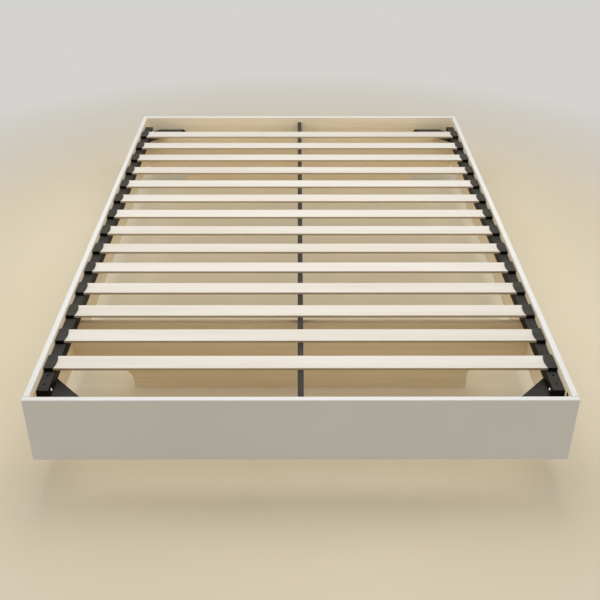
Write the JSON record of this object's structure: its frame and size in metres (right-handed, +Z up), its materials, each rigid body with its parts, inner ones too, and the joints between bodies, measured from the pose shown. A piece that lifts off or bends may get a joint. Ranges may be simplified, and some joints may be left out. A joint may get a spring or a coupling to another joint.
{
  "type": "platform bed",
  "caption": "Low floating platform bed: white boards with natural wood inside round a slatted deck on black steel rails, standing on set-back cross boards.",
  "frame": {"origin": "on the floor under the middle of the bed", "axes": "+X to the right of someone who faces the head end, +Y towards the head end, +Z up"},
  "size_m": [1.42, 1.972, 0.305],
  "materials": {
    "white_board": "satin white outside and on the edges, natural wood inside",
    "natural_wood": "clear matt lacquer",
    "slat_wood": "smooth sanded, clear matt",
    "black_steel": "satin black powder coat",
    "black_plastic": "moulded, fine matt grain",
    "zinc": "bright zinc plate",
    "cover_plastic": "wood-tone plastic, matt"
  },
  "bodies": {
    "root": {"foot_board": "white_board", "head_board": "white_board", "left_side_board": "white_board", "right_side_board": "white_board", "front_cross_board": "natural_wood", "rear_cross_board": "natural_wood", "corner_dowels": "natural_wood", "left_slat_rail": "black_steel", "right_slat_rail": "black_steel", "centre_rail": "black_steel", "centre_rail_hanger_foot": "black_steel", "centre_rail_hanger_head": "black_steel", "gusset_foot_left": "black_steel", "gusset_foot_right": "black_steel", "gusset_head_left": "black_steel", "gusset_head_right": "black_steel", "cross_bracket_front_left": "black_steel", "cross_bracket_front_right": "black_steel", "cross_bracket_rear_left": "black_steel", "cross_bracket_rear_right": "black_steel", "slat_01": "slat_wood", "slat_caps_01": "black_plastic", "slat_02": "slat_wood", "slat_caps_02": "black_plastic", "slat_03": "slat_wood", "slat_caps_03": "black_plastic", "slat_04": "slat_wood", "slat_caps_04": "black_plastic", "slat_05": "slat_wood", "slat_caps_05": "black_plastic", "slat_06": "slat_wood", "slat_caps_06": "black_plastic", "slat_07": "slat_wood", "slat_caps_07": "black_plastic", "slat_08": "slat_wood", "slat_caps_08": "black_plastic", "slat_09": "slat_wood", "slat_caps_09": "black_plastic", "slat_10": "slat_wood", "slat_caps_10": "black_plastic", "slat_11": "slat_wood", "slat_caps_11": "black_plastic", "slat_12": "slat_wood", "slat_caps_12": "black_plastic", "slat_13": "slat_wood", "slat_caps_13": "black_plastic", "slat_14": "slat_wood", "slat_caps_14": "black_plastic", "rail_end_plugs": "black_plastic", "gusset_flange_bolts": "zinc", "gusset_rail_bolts": "zinc", "rail_weld_nuts": "zinc", "rail_side_bolts": "zinc", "threaded_inserts": "zinc", "bracket_screws": "zinc", "cam_locks": "zinc", "cam_bolts": "zinc", "cam_covers": "cover_plastic"}
  },
  "joints": []
}
